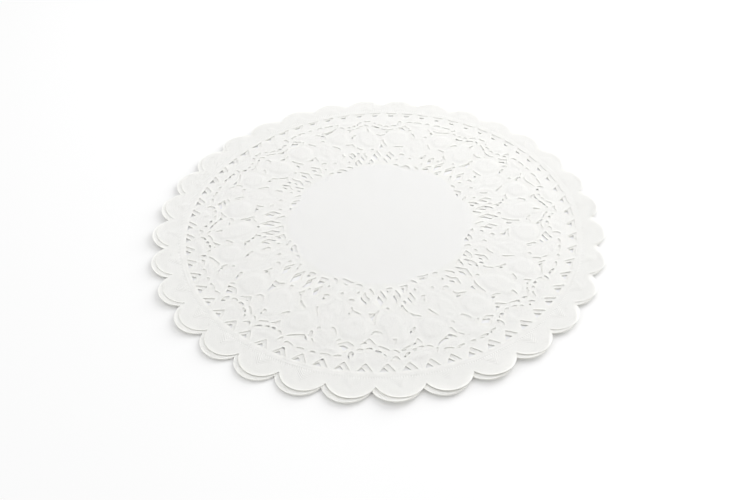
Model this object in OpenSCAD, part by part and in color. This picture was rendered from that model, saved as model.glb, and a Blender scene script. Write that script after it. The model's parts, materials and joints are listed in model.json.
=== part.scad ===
// Stack of round paper lace doilies, each one a separate die-cut sheet.
// All sizes in millimetres. The stack stands on z = 0, and the front of the
// lace pattern (angle 0) faces -Y, with angles growing towards +X.

/* [Sheet] */
// Diameter over the tips of the scallops
doily_d = 254; // [150:1:360]
// Thickness of the paper
paper_t = 0.1; // [0.08:0.01:0.3]
// Distance from one sheet to the next in the stack
sheet_pitch = 0.18; // [0.12:0.01:0.5]

/* [Rim] */
// How far a scallop stands out past the notches on each side of it
scallop_h = 7.9; // [4:0.1:10]
// Straight pieces that one scallop's curve is made of
scallop_steps = 8; // [3:1:16]
// Width of a triangular eyelet along its outer side
triangle_w = 8.4; // [4:0.1:9]
// Depth of a triangular eyelet towards the centre
triangle_h = 5.6; // [3:0.1:6]

/* [Lace] */
// How far the lace is cut to the right of the rim's centre
lace_x = -0.7; // [-1.2:0.1:1.2]
// How far the lace is cut to the back of the rim's centre
lace_y = -1.1; // [-1.2:0.1:1.2]

/* [Stack] */
// How far the top sheet has slid to the right
top_slip_x = 2.0; // [-6:0.1:6]
// How far the top sheet has slid to the back
top_slip_y = 2.1; // [-6:0.1:6]
// Extra gap under the top sheet, whose embossing no longer nests in the next one
top_rise = 0.25; // [0:0.01:1]

/* [Hidden] */
// The lace is laid out on a sheet this wide, and scales with the sheet
design_d = 256.4;
size_k = doily_d / design_d;
repeats = 8;
repeat_deg = 360 / repeats;
scallops = 32;
scallop_deg = 360 / scallops;
tip_r = design_d / 2;
notch_r = tip_r - 7.3;
notch_half_w = notch_r * sin(scallop_deg / 2);
scallop_r = (pow(notch_half_w, 2) + pow(scallop_h, 2)) / (2 * scallop_h);
scallop_mid_r = tip_r - scallop_r;
scallop_half_deg = asin(notch_half_w / scallop_r);
triangle_r = 111.5;
scallop_turn = 3;
paper_white = [0.93, 0.93, 0.91];

// A point in the lace, from its angle and its distance from the centre
function at(t, r) = [r * sin(t), -r * cos(t)];

// A point on a scallop's curve, from its step
function scallop_point(k, s) =
    at(scallop_turn + k * scallop_deg, scallop_mid_r)
    + scallop_r * [
        sin(scallop_turn + k * scallop_deg + scallop_half_deg * s),
        -cos(scallop_turn + k * scallop_deg + scallop_half_deg * s)
    ];

// The scalloped outline of a sheet
module scalloped_disc() {
    polygon([
        for (k = [0 : scallops - 1])
            for (i = [1 : scallop_steps])
                scallop_point(k, 2 * i / scallop_steps - 1)
    ]);
}

// A cut-out whose corners are given as [angle, radius]
module cut(corners) {
    polygon([for (c = corners) at(c[0], c[1])]);
}

// A small eyelet: long is along the rim, deep towards the centre
module eyelet(t, r, long, deep, lean = 0) {
    translate(at(t, r))
        rotate(t + lean)
            polygon([
                [-long / 2, 0],
                [0, -deep / 2],
                [long / 2, 0],
                [0, deep / 2]
            ]);
}

// The ring of triangular eyelets inside the scallops, two to a scallop
module triangle_ring() {
    for (k = [0 : 2 * scallops - 1])
        rotate(scallop_turn + (k + 0.5) * scallop_deg / 2)
            polygon([
                [-triangle_w / 2, -triangle_r],
                [triangle_w / 2, -triangle_r],
                [0, -triangle_r + triangle_h]
            ]);
}

// The chain of small eyelets that hangs in swags under the triangles
module swag_eyelets() {
    cut([[1.4, 103.6], [4.4, 103.7], [2.9, 101.0]]);
    cut([[5.1, 102.4], [6.0, 102.6], [7.3, 99.7], [6.5, 99.2]]);
    eyelet(8.5, 98.3, 3.0, 1.8, 20);
    eyelet(10.6, 97.5, 3.2, 1.9);
    eyelet(13.0, 98.2, 3.8, 2.0, -32);
    cut([[13.8, 102.9], [14.5, 102.8], [15.3, 100.3], [14.6, 99.6]]);
    cut([[16.1, 103.2], [19.3, 103.2], [18.2, 101.4], [16.9, 101.0]]);
    eyelet(21.3, 102.9, 4.8, 2.0, 10);
    eyelet(25.1, 102.9, 3.4, 2.2);
    eyelet(28.7, 102.7, 5.8, 2.1);
    eyelet(32.0, 102.3, 4.6, 2.0, 14);
    eyelet(35.6, 100.9, 3.4, 5.4);
    eyelet(37.8, 97.4, 4.2, 2.6, 18);
    eyelet(40.6, 96.5, 3.8, 2.3);
    eyelet(43.2, 98.0, 4.0, 2.0, -16);
    cut([[44.7, 101.2], [45.6, 100.6], [44.8, 99.6]]);
}

// The slots and leaves that follow the swags on their inner side
module swag_leaves() {
    cut([[-2.0, 94.9], [1.2, 98.2], [1.4, 96.8], [-1.4, 94.1]]);
    eyelet(3.4, 98.2, 3.6, 1.5, -36);
    cut([[4.8, 98.6], [7.8, 96.0], [7.4, 95.3], [4.8, 97.6]]);
    cut([[8.2, 95.6], [9.9, 94.6], [11.5, 95.1], [10.3, 91.3]]);
    cut([[15.2, 98.8], [19.8, 96.1], [22.0, 97.0], [20.2, 93.8], [15.6, 97.4]]);
    cut([[21.1, 90.3], [21.5, 94.6], [22.6, 94.6], [22.0, 90.2]]);
    cut([[22.5, 95.2], [23.8, 97.3], [24.3, 97.3], [23.1, 94.8]]);
    cut([[33.3, 98.8], [36.2, 94.9], [33.8, 92.4], [30.7, 95.2]]);
    cut([[30.0, 93.8], [30.7, 93.9], [31.7, 91.8], [31.1, 91.3]]);
    cut([[37.4, 94.1], [40.1, 92.9], [42.8, 94.3], [40.3, 89.2]]);
    cut([[3.2, 94.6], [4.0, 90.3], [2.6, 90.3]]);
}

// The cut-outs between the petals, from the outside in
module petal_cuts() {
    cut([[8.4, 88.0], [9.3, 88.4], [11.0, 85.0], [10.2, 84.2]]);
    eyelet(23.3, 87.8, 2.4, 2.4);
    cut([[29.2, 90.0], [30.0, 89.4], [28.3, 84.9], [27.2, 85.6]]);
    cut([[40.8, 87.3], [42.7, 86.4], [44.8, 87.5], [42.6, 84.5]]);
    cut([[11.3, 78.6], [14.4, 78.6], [13.4, 76.8], [11.0, 74.7], [10.3, 75.1]]);
    cut([[9.6, 74.3], [10.1, 73.2], [8.7, 68.4], [8.0, 68.6], [6.6, 71.0]]);
    cut([[20.7, 80.8], [18.6, 74.4], [17.5, 75.4]]);
    cut([[31.1, 74.8], [36.8, 74.0], [33.2, 72.0], [32.2, 69.8], [31.5, 70.2]]);
    cut([[41.9, 81.0], [43.7, 70.8], [41.5, 73.0], [39.2, 73.2]]);
    eyelet(2.0, 70.0, 2.0, 2.2);
    eyelet(9.8, 66.6, 1.9, 3.0, 10);
    cut([[17.9, 69.3], [18.7, 69.0], [20.3, 64.9], [17.2, 65.6]]);
    eyelet(25.2, 62.0, 2.2, 2.8);
    eyelet(30.8, 65.3, 3.8, 2.9);
}

// The lattice of thin crossed bars round the plain centre
module lattice_cuts() {
    cut([[44.6, 69.2], [47.4, 63.0], [44.3, 56.8], [42.2, 63.2]]);
    cut([[6.0, 67.8], [9.0, 62.8], [7.1, 57.0], [5.1, 62.0]]);
    cut([[13.2, 69.0], [15.2, 65.8], [13.8, 60.2], [11.6, 64.4]]);
    cut([[37.9, 68.0], [39.4, 63.2], [36.2, 58.0], [34.6, 63.4]]);
    cut([[3.2, 60.0], [5.7, 55.2], [1.8, 55.6]]);
    cut([[10.8, 60.8], [14.4, 54.9], [9.4, 55.4]]);
    cut([[40.5, 60.5], [41.1, 59.4], [38.6, 55.2], [37.8, 56.2]]);
    eyelet(16.8, 59.6, 1.4, 2.3);
    eyelet(32.8, 59.3, 1.5, 2.7, -24);
    cut([[16.0, 53.0], [19.6, 55.8], [19.8, 54.6], [18.0, 52.4]]);
    cut([[21.0, 51.7], [25.2, 55.2], [28.8, 52.2], [24.8, 51.2]]);
    cut([[29.8, 53.8], [31.6, 55.0], [34.7, 54.0], [31.8, 52.3]]);
}

// One sheet, cut and laid in its place in the stack
module sheet(level, slip = [0, 0], rise = 0) {
    translate([slip[0] - top_slip_x / 2, slip[1] - top_slip_y / 2, level * sheet_pitch + rise])
        linear_extrude(height = paper_t)
            scale(size_k)
                difference() {
                    scalloped_disc();
                    triangle_ring();
                    translate([lace_x, lace_y])
                        for (k = [0 : repeats - 1])
                            rotate(k * repeat_deg) {
                                swag_eyelets();
                                swag_leaves();
                                petal_cuts();
                                lattice_cuts();
                            }
                }
}

module doily_1_bottom() {
    color(paper_white) sheet(0);
}

module doily_2() {
    color(paper_white) sheet(1, [0.1, -0.1]);
}

module doily_3() {
    color(paper_white) sheet(2, [-0.1, 0.1]);
}

module doily_4_top() {
    color(paper_white) sheet(3, [top_slip_x, top_slip_y], top_rise);
}

doily_1_bottom();
doily_2();
doily_3();
doily_4_top();
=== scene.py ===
# Stack of round paper lace doilies: the looks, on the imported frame.
import json
import math

import bpy
import numpy as np
from mathutils import Matrix, Vector, kdtree
from mathutils.geometry import delaunay_2d_cdt


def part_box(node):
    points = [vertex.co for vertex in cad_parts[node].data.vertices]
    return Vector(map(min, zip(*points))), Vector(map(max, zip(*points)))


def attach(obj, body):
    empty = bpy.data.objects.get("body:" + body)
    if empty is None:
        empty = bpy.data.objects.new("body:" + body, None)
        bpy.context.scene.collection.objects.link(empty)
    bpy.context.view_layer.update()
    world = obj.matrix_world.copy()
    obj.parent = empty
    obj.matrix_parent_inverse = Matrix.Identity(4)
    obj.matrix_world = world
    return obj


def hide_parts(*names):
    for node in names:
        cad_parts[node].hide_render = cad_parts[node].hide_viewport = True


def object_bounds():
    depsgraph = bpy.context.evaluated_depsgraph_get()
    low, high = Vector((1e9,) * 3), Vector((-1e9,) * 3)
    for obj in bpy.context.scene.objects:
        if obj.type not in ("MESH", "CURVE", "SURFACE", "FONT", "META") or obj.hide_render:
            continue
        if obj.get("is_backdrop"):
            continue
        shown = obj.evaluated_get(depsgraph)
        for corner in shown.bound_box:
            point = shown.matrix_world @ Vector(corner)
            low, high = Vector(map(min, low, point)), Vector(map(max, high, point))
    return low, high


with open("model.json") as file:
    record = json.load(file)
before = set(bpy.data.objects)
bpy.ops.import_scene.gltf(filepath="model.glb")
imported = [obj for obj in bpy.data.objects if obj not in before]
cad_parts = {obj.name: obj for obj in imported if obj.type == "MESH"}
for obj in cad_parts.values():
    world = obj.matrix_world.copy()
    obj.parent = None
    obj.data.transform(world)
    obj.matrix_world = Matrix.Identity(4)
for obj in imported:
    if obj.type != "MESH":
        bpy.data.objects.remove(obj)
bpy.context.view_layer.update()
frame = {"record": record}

MM = 0.001
SHEETS = [s["node"] for s in frame["record"]["subparts"]]
BODY = {n: b for b, nodes in frame["record"]["behaviour"]["bodies"].items() for n in nodes}


# ---------------------------------------------------------------- camera
def camera():
    lens, tilt, roll, away = 36.57, math.radians(42.88), math.radians(-2.0), 0.41893
    top_low, top_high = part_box(SHEETS[-1])
    middle = (top_low + top_high) / 2
    target = Vector((middle.x - 0.00364, middle.y - 0.02619, top_high.z))
    back = Vector((0, -math.cos(tilt), math.sin(tilt)))
    right, up = Vector((1, 0, 0)), back.cross(Vector((1, 0, 0)))
    turned = math.cos(roll) * right + math.sin(roll) * up
    raised = -math.sin(roll) * right + math.cos(roll) * up
    cam = bpy.data.objects.new("camera", bpy.data.cameras.new("camera"))
    bpy.context.scene.collection.objects.link(cam)
    cam.data.lens, cam.data.sensor_width = lens, 36
    cam.data.clip_start, cam.data.clip_end = 0.01, 20
    rows = Matrix((turned, raised, back)).transposed().to_4x4()
    cam.matrix_world = Matrix.Translation(target + back * away) @ rows
    bpy.context.scene.camera = cam


camera()


# ---------------------------------------------------------------- the pattern
# A point of the lace is (angle, radius): degrees from the front towards the right,
# and millimetres from the sheet's centre, on a sheet of 256.4 mm that is then scaled to
# its real width. One repeat is 45 degrees.
REPEATS, SCALLOPS = 8, 32
REPEAT_DEG = 360 / REPEATS
TIP_R, NOTCH_R, SCALLOP_H, TURN = 128.2, 120.9, 7.9, 3.0
SCALLOP_DEG = 360 / SCALLOPS
WIDTH = 254.0
LACE = np.array((-0.7, -1.1))  # a guess at how far the lace sits off the rim's centre
SCALE = WIDTH / 2 / TIP_R


def polar(t, r):
    a = math.radians(t)
    return np.array((r * math.sin(a), -r * math.cos(a)))


def oval(t, r, long, deep, lean=0.0, n=14):
    """An oval eyelet, long along the rim and deep towards the centre, turned by lean."""
    a = np.linspace(0, 2 * math.pi, n, endpoint=False)
    x, y = long / 2 * np.cos(a), deep / 2 * np.sin(a)
    turn = math.radians(t + lean)
    c, s = math.cos(turn), math.sin(turn)
    return polar(t, r) + np.stack((c * x - s * y, s * x + c * y), 1)


def cut(corners, crisp=0.14):
    """A cut-out from its corners, with each corner slightly rounded."""
    p = np.array([polar(t, r) for t, r in corners])
    for share in (crisp, 0.25, 0.25):
        q = np.roll(p, -1, 0)
        p = np.stack((p + (q - p) * share, q + (p - q) * share), 1).reshape(-1, 2)
    return p


CUTS = [
    # the chain of small eyelets in swags
    cut([(1.5, 103.8), (2.9, 103.0), (4.3, 103.9), (3.6, 101.6), (2.9, 101.1), (2.2, 101.6)]),
    cut([(5.1, 102.6), (5.9, 102.7), (6.6, 101.0), (7.3, 99.6), (6.6, 99.1), (5.5, 100.7)], 0.2),
    oval(8.5, 98.4, 2.7, 1.6, 20),
    oval(10.6, 97.5, 2.9, 1.6),
    oval(13.1, 98.2, 3.5, 1.7, -32),
    cut([(13.8, 103.0), (14.5, 102.9), (15.3, 100.5), (15.0, 99.4), (14.2, 100.4)], 0.2),
    cut([(16.0, 103.0), (17.8, 103.3), (19.4, 103.1), (18.8, 101.9), (17.0, 100.9), (16.3, 101.6)], 0.2),
    oval(21.3, 102.9, 4.5, 1.6, 10),
    oval(25.1, 102.9, 3.0, 1.8),
    oval(28.7, 102.7, 5.5, 1.8),
    oval(32.0, 102.3, 4.2, 1.7, 14),
    oval(35.6, 100.9, 2.9, 5.0),
    oval(37.8, 97.4, 3.8, 2.2, 18),
    oval(40.6, 96.5, 3.5, 1.9),
    oval(43.2, 98.0, 3.6, 1.7, -16),
    oval(45.1, 100.4, 1.9, 1.1, -55),
    # slots and leaves that follow the swags
    cut([(-2.0, 95.1), (-0.6, 96.5), (1.3, 98.1), (1.5, 97.0), (0.2, 95.5), (-1.6, 94.0)], 0.2),
    oval(3.4, 98.2, 3.4, 1.3, -36),
    cut([(4.8, 98.7), (6.2, 97.8), (7.8, 96.0), (7.4, 95.2), (5.8, 96.5), (4.8, 97.6)], 0.2),
    cut([(8.2, 95.7), (9.9, 94.8), (11.5, 95.2), (11.0, 93.0), (10.3, 91.2), (9.5, 93.5)]),
    cut([(15.2, 98.8), (17.6, 97.3), (20.0, 96.1), (22.0, 97.1), (20.9, 94.9), (20.2, 93.7),
         (18.6, 94.8), (16.2, 96.8)]),
    cut([(21.2, 90.2), (21.1, 92.6), (21.6, 94.7), (22.6, 94.6), (22.4, 92.4), (22.0, 90.1)], 0.2),
    cut([(22.5, 95.2), (23.8, 97.3), (24.3, 97.3), (23.1, 94.8)], 0.2),
    cut([(33.3, 98.9), (34.4, 96.6), (36.3, 94.9), (33.8, 92.3), (30.6, 95.2), (32.3, 96.6)]),
    cut([(30.0, 93.8), (30.7, 93.9), (31.7, 91.8), (31.1, 91.3)], 0.2),
    cut([(37.4, 94.2), (38.8, 93.1), (40.1, 92.9), (41.4, 93.2), (42.8, 94.4), (41.8, 92.0),
         (40.3, 89.2), (38.9, 91.8)]),
    cut([(3.2, 94.6), (3.8, 92.4), (4.0, 90.3), (2.6, 90.3), (2.8, 92.4)]),
    # between the petals
    cut([(8.3, 87.6), (8.7, 88.4), (9.5, 88.2), (10.4, 86.4), (11.0, 84.8), (10.4, 84.0), (9.2, 85.6)], 0.2),
    oval(23.3, 87.8, 2.2, 2.2),
    cut([(29.2, 90.1), (30.0, 89.7), (29.5, 87.6), (28.6, 85.4), (27.8, 84.6), (27.1, 85.6),
         (28.0, 87.8)], 0.2),
    cut([(40.7, 87.4), (41.8, 86.9), (42.8, 86.4), (44.9, 87.6), (44.2, 85.6), (42.3, 84.4), (41.2, 85.4)]),
    cut([(11.3, 78.4), (12.6, 78.2), (14.5, 78.8), (14.2, 77.4), (12.4, 76.4), (11.1, 74.6),
         (10.3, 74.9), (10.7, 76.4)]),
    cut([(9.6, 74.4), (10.1, 73.4), (9.0, 70.9), (8.9, 68.5), (8.0, 68.3), (7.7, 70.1), (6.6, 70.9),
         (8.2, 71.9)]),
    cut([(20.8, 81.0), (19.3, 77.0), (18.7, 74.4), (17.7, 74.7), (17.8, 76.4), (19.2, 78.6)]),
    cut([(31.1, 74.9), (33.2, 74.3), (36.9, 74.2), (34.6, 72.6), (32.8, 71.8), (32.3, 69.7),
         (31.5, 69.9), (31.7, 72.2)]),
    cut([(41.4, 80.9), (42.2, 80.9), (42.3, 76.5), (42.8, 73.6), (43.7, 70.6), (42.6, 71.6), (41.5, 73.1),
         (39.2, 73.0), (39.6, 75.0), (40.7, 77.2)]),
    oval(2.0, 70.0, 1.8, 2.0),
    oval(9.8, 66.6, 1.6, 2.6, 10),
    cut([(17.8, 69.4), (18.7, 69.1), (19.1, 67.0), (20.3, 64.9), (18.6, 64.5), (17.2, 65.7), (17.9, 67.4)]),
    oval(25.2, 62.0, 2.0, 2.6),
    oval(30.8, 65.3, 3.4, 2.6),
    # the lattice of thin crossed bars
    cut([(44.6, 69.3), (45.7, 66.4), (47.4, 63.0), (46.0, 60.2), (44.2, 56.7), (43.4, 60.0),
         (42.2, 63.2), (43.6, 66.2)]),
    cut([(5.9, 68.0), (7.4, 66.2), (9.0, 62.8), (8.2, 59.2), (7.1, 56.8), (6.6, 58.8), (5.1, 62.0),
         (6.2, 64.8)]),
    cut([(13.1, 69.2), (14.2, 67.8), (15.3, 65.9), (14.6, 63.0), (13.8, 60.1), (12.8, 62.4),
         (11.5, 64.4), (12.3, 66.8)]),
    cut([(37.9, 68.2), (38.5, 66.0), (39.5, 63.2), (37.4, 61.4), (36.1, 57.9), (35.4, 60.6),
         (34.5, 63.4), (36.3, 65.6)]),
    cut([(3.2, 60.2), (4.6, 57.6), (5.8, 55.1), (3.6, 54.9), (1.8, 55.8), (2.4, 57.8)]),
    cut([(10.6, 60.9), (13.2, 58.8), (14.4, 54.7), (12.0, 54.8), (9.3, 55.3), (10.4, 57.8)]),
    cut([(40.5, 60.6), (41.2, 59.4), (39.9, 56.8), (38.7, 55.1), (37.8, 56.0), (39.2, 58.6)], 0.2),
    oval(16.8, 59.6, 1.2, 2.0),
    oval(32.8, 59.3, 1.3, 2.4, -24),
    cut([(15.9, 52.9), (17.2, 54.4), (19.5, 56.0), (19.9, 54.8), (18.2, 52.2)], 0.2),
    cut([(20.9, 51.3), (22.8, 54.1), (25.1, 55.3), (27.1, 54.2), (28.9, 51.9), (26.8, 51.9),
         (24.8, 51.4), (22.8, 50.8)]),
    cut([(29.8, 53.8), (31.6, 55.0), (34.7, 54.0), (31.8, 52.3)], 0.2),
]

# Smooth raised pads: petals, then the lens-shaped fields between the swags
PADS = [
    (0.17, 2.6, [(3.5, 94.5), (6.6, 93.6), (8.2, 90.5), (8.0, 86.5), (8.4, 82.0), (7.6, 77.5),
                 (5.6, 74.0), (2.8, 72.2), (0.2, 73.2), (-1.6, 76.5), (-2.2, 80.5), (-1.0, 84.5),
                 (-0.2, 88.5), (0.8, 92.5)]),
    (0.17, 2.6, [(12.2, 92.5), (15.5, 94.5), (19.0, 93.0), (20.8, 90.0), (21.0, 86.0), (19.4, 82.0),
                 (16.6, 79.5), (13.8, 80.0), (11.8, 82.5), (11.4, 87.0)]),
    (0.17, 2.6, [(30.5, 89.5), (32.5, 91.5), (35.5, 92.0), (38.5, 91.0), (40.2, 88.5), (40.4, 84.5),
                 (39.6, 80.0), (38.2, 76.5), (35.4, 75.5), (32.4, 76.5), (30.4, 79.0), (29.6, 83.5)]),
    (0.12, 1.8, [(6.2, 104.5), (10.0, 105.0), (13.4, 104.3), (13.0, 101.0), (10.5, 99.3), (8.2, 100.2)]),
    (0.12, 1.6, [(15.8, 99.6), (18.0, 101.0), (21.0, 101.6), (24.5, 101.0), (23.0, 98.6),
                 (20.6, 97.6), (18.0, 98.2)]),
    (0.12, 1.8, [(36.8, 104.5), (40.5, 105.0), (44.2, 104.3), (43.2, 100.2), (40.8, 98.6), (38.3, 99.4)]),
    (0.12, 1.6, [(25.5, 101.0), (29.0, 101.2), (33.0, 100.5), (31.0, 97.5), (28.5, 96.5), (26.6, 98.0)]),
]

# Raised veins: height, half width, points
VEINS = [
    (0.12, 0.7, [(24.3, 96.0), (25.8, 97.0), (27.4, 95.8)]),
    (0.12, 0.7, [(24.2, 93.4), (25.9, 94.6), (27.7, 92.2)]),
    (0.12, 0.7, [(24.3, 90.8), (25.8, 91.7), (27.3, 90.4)]),
    (0.12, 0.7, [(24.2, 88.0), (25.5, 89.2), (26.9, 88.0)]),
    (0.14, 0.7, [(22.8, 84.2), (24.1, 85.7), (25.6, 86.0), (27.2, 84.2)]),
    (0.11, 0.7, [(25.0, 82.0), (23.5, 79.5), (23.0, 76.4), (23.6, 73.4), (25.0, 71.2), (26.4, 73.4),
                 (27.0, 76.4), (26.5, 79.5), (25.0, 82.0)]),
    (0.10, 0.6, [(25.0, 84.0), (25.0, 66.0)]),
    (0.10, 0.7, [(25.2, 68.0), (22.5, 64.0), (20.5, 58.5)]),
    (0.10, 0.7, [(25.2, 68.0), (28.0, 63.0), (29.0, 57.5)]),
    (0.10, 0.7, [(17.0, 73.0), (20.5, 71.5), (22.0, 67.5), (21.0, 63.5)]),
    (0.10, 0.7, [(30.0, 73.0), (29.0, 70.0), (28.0, 67.5)]),
    (0.09, 0.6, [(11.0, 89.5), (9.8, 81.0), (10.8, 79.5)]),
    (0.09, 0.6, [(22.0, 88.0), (22.6, 83.0), (21.6, 78.0)]),
    (0.09, 0.6, [(28.2, 83.5), (28.6, 79.0), (29.6, 76.0)]),
]

# Radii of the border line, the bead line and the stippled ground of the lace
BORDER_R, DOTS_R, GROUND = 112.75, 114.1, (54.0, 106.0)
# The ring of triangular eyelets: outer radius, inner corner's radius, half width
TRIANGLE_R, TRIANGLE_TIP_R, TRIANGLE_HALF_W = 111.5, 105.9, 4.2
# The fan in each scallop: where it starts, how deep it is, half its width
FAN_R, FAN_DEEP, FAN_HALF_W = 115.0, 6.5, 5.2
# How many waves the bead line makes round the sheet
BEADS = 576


# ---------------------------------------------------------------- the flat cut sheet
def rim(teeth=27, tooth=0.24):
    """The scalloped outline, with the fine teeth that it is cut with."""
    half_w = NOTCH_R * math.sin(math.radians(SCALLOP_DEG / 2))
    r = (half_w**2 + SCALLOP_H**2) / (2 * SCALLOP_H)
    half = math.asin(half_w / r)
    points = []
    for k in range(SCALLOPS):
        a = TURN + k * SCALLOP_DEG
        for i in range(1, 2 * teeth + 1):
            t = math.radians(a) + half * (i / teeth - 1)
            reach = r - tooth * (i % 2)
            points.append(polar(a, TIP_R - r) + reach * np.array((math.sin(t), -math.cos(t))))
    return np.array(points), r


def turned(p, deg):
    c, s = math.cos(math.radians(deg)), math.sin(math.radians(deg))
    return np.stack((c * p[:, 0] - s * p[:, 1], s * p[:, 0] + c * p[:, 1]), 1)


def evened(p, longest=0.85, shortest=0.22):
    """The same closed outline, with long steps split and very short ones dropped."""
    kept = [p[0]]
    for q in p[1:]:
        if np.linalg.norm(q - kept[-1]) >= shortest:
            kept.append(q)
    if np.linalg.norm(kept[0] - kept[-1]) < shortest:
        kept.pop()
    out = []
    for a, b in zip(kept, kept[1:] + kept[:1]):
        n = max(1, math.ceil(np.linalg.norm(b - a) / longest))
        out += [a + (b - a) * i / n for i in range(n)]
    return np.array(out)


def inside(p, loop):
    """Which points lie in a closed outline."""
    a, b = loop, np.roll(loop, -1, 0)
    x, y = p[:, 0:1], p[:, 1:2]
    across = (a[:, 1] > y) != (b[:, 1] > y)
    rise = np.where(b[:, 1] == a[:, 1], 1e-12, b[:, 1] - a[:, 1])
    return (across & (x < (b[:, 0] - a[:, 0]) * (y - a[:, 1]) / rise + a[:, 0])).sum(1) % 2 == 1


def flat_sheet():
    """Points, triangles, border edges, cut-edge tree and area of the sheet, in millimetres."""
    outline, scallop_r = rim()
    tri = []
    for k in range(2 * SCALLOPS):
        a = TURN + (k + 0.5) * SCALLOP_DEG / 2
        w = math.degrees(TRIANGLE_HALF_W / TRIANGLE_R)
        tri.append(cut([(a - w, TRIANGLE_R + 0.2), (a, TRIANGLE_R - 0.2), (a + w, TRIANGLE_R + 0.2),
                        (a, TRIANGLE_TIP_R)], 0.1))
    loops = [evened(t) for t in tri]
    loops += [evened(turned(c, REPEAT_DEG * k)) + LACE for k in range(REPEATS) for c in CUTS]
    fixed = np.concatenate([outline] + loops)
    tree = kdtree.KDTree(len(fixed))
    for i, p in enumerate(fixed):
        tree.insert((p[0], p[1], 0), i)
    tree.balance()
    rows = [0.0] + list(np.arange(4.0, 48.0, 4.0)) + list(np.arange(49.0, 110.5, 1.15))
    rows += [110.9, 111.9, 112.35, 112.75, 113.15, 113.7, 114.1, 114.6, 115.5]
    rows += list(np.arange(116.5, 128.0, 1.1))
    grid = []
    for j, r in enumerate(rows):
        step = 1.2 if r > 48 else 4.0
        n = max(1, round(2 * math.pi * r / step / 8) * 8)
        a = (np.arange(n) + 0.5 * (j % 2)) * 360 / n
        grid.append(np.stack((r * np.sin(np.radians(a)), -r * np.cos(np.radians(a))), 1))
    grid = np.concatenate(grid)
    far = np.array([tree.find((x, y, 0))[2] for x, y in grid])
    grid = grid[far > 0.5]
    keep = on_paper(grid, scallop_r)
    for loop in loops:
        low, high = loop.min(0), loop.max(0)
        near = np.flatnonzero(((grid > low) & (grid < high)).all(1) & keep)
        keep[near[inside(grid[near], loop)]] = False
    points = np.concatenate((fixed, grid[keep]))
    edges, start = [], 0
    for loop in [outline] + loops:
        n = len(loop)
        edges += [(start + i, start + (i + 1) % n) for i in range(n)]
        start += n
    got = delaunay_2d_cdt([Vector(p) for p in points], edges, [], 0, 1e-6, False)
    p, t = np.array([tuple(v) for v in got[0]]), np.array(got[2])
    middle = p[t].mean(1)
    good = on_paper(middle, scallop_r)
    edge = np.flatnonzero(good & (np.hypot(middle[:, 0], middle[:, 1]) > NOTCH_R - 3))
    good[edge] = inside(middle[edge], outline)
    for loop in loops:
        low, high = loop.min(0), loop.max(0)
        near = np.flatnonzero(((middle > low) & (middle < high)).all(1) & good)
        good[near[inside(middle[near], loop)]] = False
    t = t[good]
    a, b, c = p[t[:, 0]], p[t[:, 1]], p[t[:, 2]]
    turn = (b[:, 0] - a[:, 0]) * (c[:, 1] - a[:, 1]) - (b[:, 1] - a[:, 1]) * (c[:, 0] - a[:, 0])
    t[turn < 0] = t[turn < 0][:, ::-1]
    used, t = np.unique(t, return_inverse=True)
    p, t = p[used], t.reshape(-1, 3)
    both = np.concatenate((t[:, [0, 1]], t[:, [1, 2]], t[:, [2, 0]]))
    key = both.min(1) * len(p) + both.max(1)
    _, first, count = np.unique(key, return_index=True, return_counts=True)
    border = both[first[count == 1]]
    return p, t, border, tree, float(np.abs(turn).sum() / 2)


def on_paper(p, scallop_r):
    r, a = np.hypot(p[:, 0], p[:, 1]), np.degrees(np.arctan2(p[:, 0], -p[:, 1]))
    off = np.radians((a - TURN + SCALLOP_DEG / 2) % SCALLOP_DEG - SCALLOP_DEG / 2)
    mid = TIP_R - scallop_r
    return (r < NOTCH_R * math.cos(math.radians(SCALLOP_DEG / 2))) | (
        np.hypot(r * np.sin(off), r * np.cos(off) - mid) < scallop_r
    )


# ---------------------------------------------------------------- the embossing
def smooth(x):
    x = np.clip(x, 0, 1)
    return x * x * (3 - 2 * x)


def from_line(p, line):
    """Each point's distance from a chain of points."""
    best = np.full(len(p), 1e9)
    for a, b in zip(line[:-1], line[1:]):
        d = b - a
        f = np.clip(((p - a) @ d) / (d @ d), 0, 1)
        best = np.minimum(best, np.linalg.norm(p - a - f[:, None] * d, axis=1))
    return best


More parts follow.
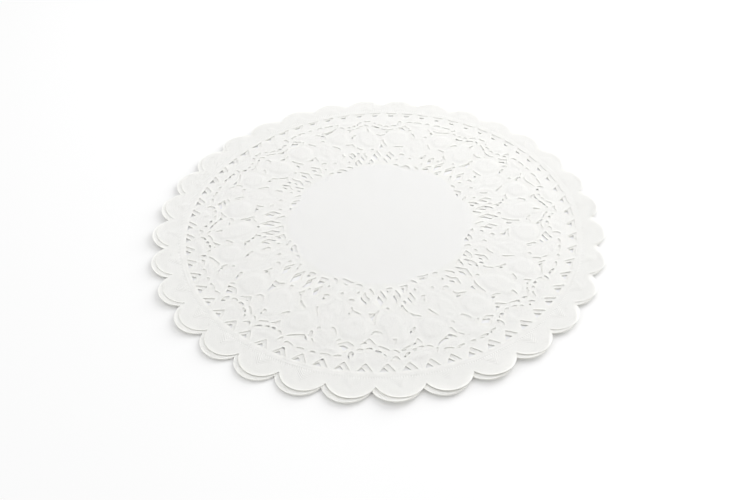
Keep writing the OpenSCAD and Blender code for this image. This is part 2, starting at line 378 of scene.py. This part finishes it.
def embossing(p, tree):
    """Height of the embossing over the sheet's ground, in millimetres, at most 0.24."""
    r, a = np.hypot(p[:, 0], p[:, 1]), np.degrees(np.arctan2(p[:, 0], -p[:, 1]))
    x, y = (p - LACE).T
    folded = np.radians((np.degrees(np.arctan2(x, -y)) + 5) % REPEAT_DEG - 5)
    q = np.hypot(x, y)[:, None] * np.stack((np.sin(folded), -np.cos(folded)), 1)
    h = np.zeros(len(p))
    for high, shoulder, corners in PADS:
        loop = cut(corners, 0.25)
        near = np.flatnonzero(((q > loop.min(0)) & (q < loop.max(0))).all(1))
        near = near[inside(q[near], loop)]
        d = from_line(q[near], np.concatenate((loop, loop[:1])))
        h[near] = np.maximum(h[near], high * smooth(d / shoulder))
    for high, wide, line in VEINS:
        pts = np.array([polar(t, rr) for t, rr in line])
        near = np.flatnonzero(((q > pts.min(0) - 3) & (q < pts.max(0) + 3)).all(1))
        d = from_line(q[near], pts)
        h[near] = np.maximum(h[near], high * np.exp(-((d / wide) ** 2)))
    h = np.maximum(h, 0.11 * np.exp(-(((r - BORDER_R) / 0.45) ** 2)))
    h = np.maximum(h, 0.09 * np.exp(-(((r - DOTS_R) / 0.4) ** 2)))
    off = np.radians((a - TURN + SCALLOP_DEG / 2) % SCALLOP_DEG - SCALLOP_DEG / 2)
    side, up = np.abs(r * np.sin(off)), r - FAN_R
    half_w = np.maximum(FAN_HALF_W * (1 - up / FAN_DEEP), 0.01)
    fan = smooth((1 - side / half_w) * 3) * smooth(up / 0.8) * (up < FAN_DEEP)
    h = np.maximum(h, 0.10 * fan)
    d = np.array([tree.find((x, y, 0))[2] for x, y in p])
    return h + 0.07 * np.exp(-((d / 0.7) ** 2))


# How high the curled rim of the stack stands, in millimetres, at angles from the front.
# These heights and the ones below are listed.
CURL = [(-180, 0.6), (-150, 0.9), (-120, 1.8), (-87, 2.4), (-75, 1.6), (-58, 1.8), (-42, 0.9), (-25, 0.8),
        (-9, 1.3), (3, 2.2), (14, 1.3), (26, 2.1), (48, 1.9), (70, 1.6), (93, 2.0), (120, 1.2),
        (150, 0.7), (180, 0.6)]
# How much further the loose top sheet stands off at its rim
LOOSE = [(-180, -0.1), (-60, -0.1), (-20, 0.2), (-9, 0.3), (3, 0.1), (14, 0.5), (26, 0.4), (40, -0.1),
        (180, -0.1)]

# How far the top sheet's own weight presses it down onto the next one
TOP_SAG = 0.16


def around(a, places):
    """A smooth value between those given at some angles."""
    angles, values = np.array(places, float).T
    i = np.clip(np.searchsorted(angles, a, "right") - 1, 0, len(angles) - 2)
    return values[i] + (values[i + 1] - values[i]) * smooth((a - angles[i]) / (angles[i + 1] - angles[i]))


def lift(x, y, level, top_level):
    """How far a sheet stands up from flat, in millimetres, at places in the row frame."""
    r, a = np.hypot(x, y), np.degrees(np.arctan2(x, -y))
    out = np.maximum((r - 106) / 21, 0) ** 1.6
    wave = 0.05 * (1 + np.sin(x / 23 + 0.6) * np.cos(y / 31 - 0.4)) * smooth(r / 30)
    up = out * around(a, CURL) * min(1.0, 0.85 + 0.15 * level / (top_level - 1)) + wave * level / top_level
    return up + out * around(a, LOOSE) - TOP_SAG if level == top_level else up


# ---------------------------------------------------------------- paper
def paper():
    m = bpy.data.materials.new("lace_paper")
    m.use_nodes = True
    nt = m.node_tree
    nt.nodes.clear()

    def node(kind, **values):
        n = nt.nodes.new(kind)
        for k, v in values.items():
            if hasattr(n, k):
                setattr(n, k, v)
            else:
                n.inputs[k].default_value = v
        return n

    def link(a, b):
        nt.links.new(a, b)

    def maths(op, a, b=None, c=None, clamp=False):
        n = node("ShaderNodeMath", operation=op, use_clamp=clamp)
        for i, v in enumerate((a, b, c)):
            if v is None:
                continue
            if isinstance(v, (int, float)):
                n.inputs[i].default_value = v
            else:
                link(v, n.inputs[i])
        return n.outputs[0]

    where = node("ShaderNodeTexCoord").outputs["Object"]
    split = node("ShaderNodeSeparateXYZ")
    link(where, split.inputs[0])
    x, y = split.outputs[0], split.outputs[1]
    squares = maths("ADD", maths("MULTIPLY", x, x), maths("MULTIPLY", y, y))
    r = maths("MULTIPLY", maths("SQRT", squares), 1000.0)
    angle = maths("MULTIPLY", maths("ARCTAN2", x, maths("MULTIPLY", y, -1.0)), 180 / math.pi)

    def band(value, low, high, edge):
        up = maths("DIVIDE", maths("SUBTRACT", value, low), edge, clamp=True)
        down = maths("DIVIDE", maths("SUBTRACT", high, value), edge, clamp=True)
        return maths("MULTIPLY", up, down)

    # fine embossing that is too small for the mesh: dots, fan ribs and the ground's stipple
    dots = maths("MULTIPLY", band(r, DOTS_R - 0.55, DOTS_R + 0.55, 0.3),
                 maths("SINE", maths("MULTIPLY", angle, math.radians(1) * BEADS)))
    off = maths("FLOORED_MODULO", maths("ADD", angle, SCALLOP_DEG / 2 - TURN), SCALLOP_DEG)
    off = maths("SUBTRACT", off, SCALLOP_DEG / 2)
    side = maths("MULTIPLY", off, maths("MULTIPLY", r, math.pi / 180))
    up = maths("SUBTRACT", r, FAN_R)
    fan_w = maths("MULTIPLY", maths("SUBTRACT", FAN_DEEP, up), FAN_HALF_W / FAN_DEEP)
    in_fan = maths("MULTIPLY", band(r, 115.2, 121.2, 0.5),
                   maths("DIVIDE", maths("SUBTRACT", fan_w, maths("ABSOLUTE", side)), 0.6, clamp=True))
    along = maths("MULTIPLY", maths("ADD", maths("ABSOLUTE", side), up), 5.2)
    ribs = maths("MULTIPLY", maths("MULTIPLY", in_fan, 0.55), maths("SINE", along))
    ground = band(r, GROUND[0], GROUND[1], 1.0)
    stipple = node("ShaderNodeTexVoronoi", Scale=700.0, feature="SMOOTH_F1")
    link(where, stipple.inputs["Vector"])
    dimples = maths("MULTIPLY", ground, maths("MULTIPLY", stipple.outputs["Distance"], 0.5))

    fibre = node("ShaderNodeTexNoise", Scale=1400.0, Detail=6.0, Roughness=0.62)
    flock = node("ShaderNodeTexNoise", Scale=170.0, Detail=4.0, Roughness=0.55)
    cloud = node("ShaderNodeTexNoise", Scale=22.0, Detail=3.0, Roughness=0.5)
    for n in (fibre, flock, cloud):
        link(where, n.inputs["Vector"])

    # Paper colour: tint A, on the lace ring and rim, is darker and warmer than tint B on the plain centre
    # disc. That step is partly the paper's cream tone and partly painted warm shade, standing in for the
    # shade on the left and front rims. The cloud and flock noise is the paper's own uneven tone.
    tone_and_painted_shade = node("ShaderNodeMix", data_type="RGBA")
    tone_and_painted_shade.inputs["A"].default_value = (0.916, 0.911, 0.848, 1)
    tone_and_painted_shade.inputs["B"].default_value = (0.938, 0.932, 0.894, 1)
    blend = maths("ADD", maths("MULTIPLY", cloud.outputs["Fac"], 0.55),
                  maths("MULTIPLY", flock.outputs["Fac"], 0.45))
    # 1 on the plain centre disc; outside it the lace ring and rim take tint A, the painted warm shade
    plain = maths("SUBTRACT", 1.0, band(r, GROUND[0] - 3, 140.0, 3.0))
    tone_and_shade_factor = maths("ADD", maths("MULTIPLY", blend, 0.5), maths("MULTIPLY", plain, 0.6), clamp=True)
    link(tone_and_shade_factor, tone_and_painted_shade.inputs["Factor"])

    rough = maths("ADD", maths("MULTIPLY", fibre.outputs["Fac"], 0.16), 0.78)

    fine = node("ShaderNodeBump", Strength=0.5, Distance=0.00003)
    uneven = maths("ADD", fibre.outputs["Fac"], maths("MULTIPLY", flock.outputs["Fac"], 0.8))
    link(uneven, fine.inputs["Height"])
    pressed = node("ShaderNodeBump", Strength=0.7, Distance=0.00006)
    link(maths("ADD", maths("ADD", dots, ribs), dimples), pressed.inputs["Height"])
    link(fine.outputs["Normal"], pressed.inputs["Normal"])

    shade = node("ShaderNodeBsdfPrincipled")
    link(tone_and_painted_shade.outputs["Result"], shade.inputs["Base Color"])
    link(rough, shade.inputs["Roughness"])
    link(pressed.outputs["Normal"], shade.inputs["Normal"])
    shade.inputs["Specular IOR Level"].default_value = 0.25
    shade.inputs["Sheen Weight"].default_value = 0.08
    shade.inputs["Sheen Roughness"].default_value = 0.6
    shade.inputs["Subsurface Weight"].default_value = 0.8
    shade.inputs["Subsurface Radius"].default_value = (1.0, 1.0, 1.0)
    shade.inputs["Subsurface Scale"].default_value = 0.0004
    out = node("ShaderNodeOutputMaterial")
    link(shade.outputs[0], out.inputs["Surface"])
    return m


# ---------------------------------------------------------------- the sheets
def build():
    p, t, border, tree, area = flat_sheet()
    relief = embossing(p, tree)
    n, stuff = len(p), paper()
    top_level = len(SHEETS) - 1
    for level, name in enumerate(SHEETS):
        low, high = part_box(name)
        centre = (low + high) / 2
        thick = high.z - low.z
        here = p * SCALE * MM
        warp = lift((here[:, 0] + centre.x) / MM, (here[:, 1] + centre.y) / MM, level, top_level)
        z = low.z + (relief + warp) * MM
        under = np.column_stack((here, z))
        over = np.column_stack((here, z + thick))
        walls = np.concatenate((
            np.column_stack((border[:, 1], border[:, 0], border[:, 0] + n)),
            np.column_stack((border[:, 1], border[:, 0] + n, border[:, 1] + n)),
        ))
        faces = np.concatenate((t + n, t[:, ::-1], walls))
        me = bpy.data.meshes.new(name + "_lace")
        me.vertices.add(2 * n)
        me.vertices.foreach_set("co", np.concatenate((under, over)).astype(np.float32).ravel())
        me.loops.add(faces.size)
        me.loops.foreach_set("vertex_index", faces.astype(np.int32).ravel())
        me.polygons.add(len(faces))
        me.polygons.foreach_set("loop_start", np.arange(0, faces.size, 3, dtype=np.int32))
        me.update(calc_edges=True)
        me.validate()
        me.polygons.foreach_set("use_smooth", np.ones(len(me.polygons), bool))
        me.set_sharp_from_angle(angle=math.radians(50))
        me.materials.append(stuff)
        ob = bpy.data.objects.new(name + "_lace", me)
        bpy.context.scene.collection.objects.link(ob)
        ob.location = (centre.x, centre.y, 0)
        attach(ob, BODY[name])
        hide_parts(name)
    print("lace", n, "points", len(faces), "triangles a sheet, area mm2", round(area * SCALE**2))


build()


# ---------------------------------------------------------------- stage and light
def stage():
    low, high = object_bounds()
    me = bpy.data.meshes.new("floor")
    s, z = 15.0, low.z - 0.00003
    me.from_pydata([(-s, -s, z), (s, -s, z), (s, s, z), (-s, s, z)], [], [(0, 1, 2, 3)])
    floor = bpy.data.objects.new("floor", me)
    bpy.context.scene.collection.objects.link(floor)
    m = bpy.data.materials.new("floor")
    m.use_nodes = True
    p = m.node_tree.nodes["Principled BSDF"]
    p.inputs["Base Color"].default_value = (0.89, 0.89, 0.89, 1)
    p.inputs["Roughness"].default_value = 1.0
    p.inputs["Specular IOR Level"].default_value = 0.0
    me.materials.append(m)
    floor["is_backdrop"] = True

    world = bpy.data.worlds.new("studio")
    world.use_nodes = True
    world.node_tree.nodes["Background"].inputs["Color"].default_value = (1, 1, 1, 1)
    world.node_tree.nodes["Background"].inputs["Strength"].default_value = 0.935
    bpy.context.scene.world = world

    data = bpy.data.lights.new("key", "AREA")
    data.size, data.energy = 0.7, 4.9
    lamp = bpy.data.objects.new("key", data)
    bpy.context.scene.collection.objects.link(lamp)
    lamp.location = (0.6, 0.5, 0.42)
    lamp.rotation_euler = (-lamp.location).to_track_quat("-Z", "Y").to_euler()


stage()
bpy.context.scene.view_settings.view_transform = "Standard"
bpy.context.scene.view_settings.look = "None"
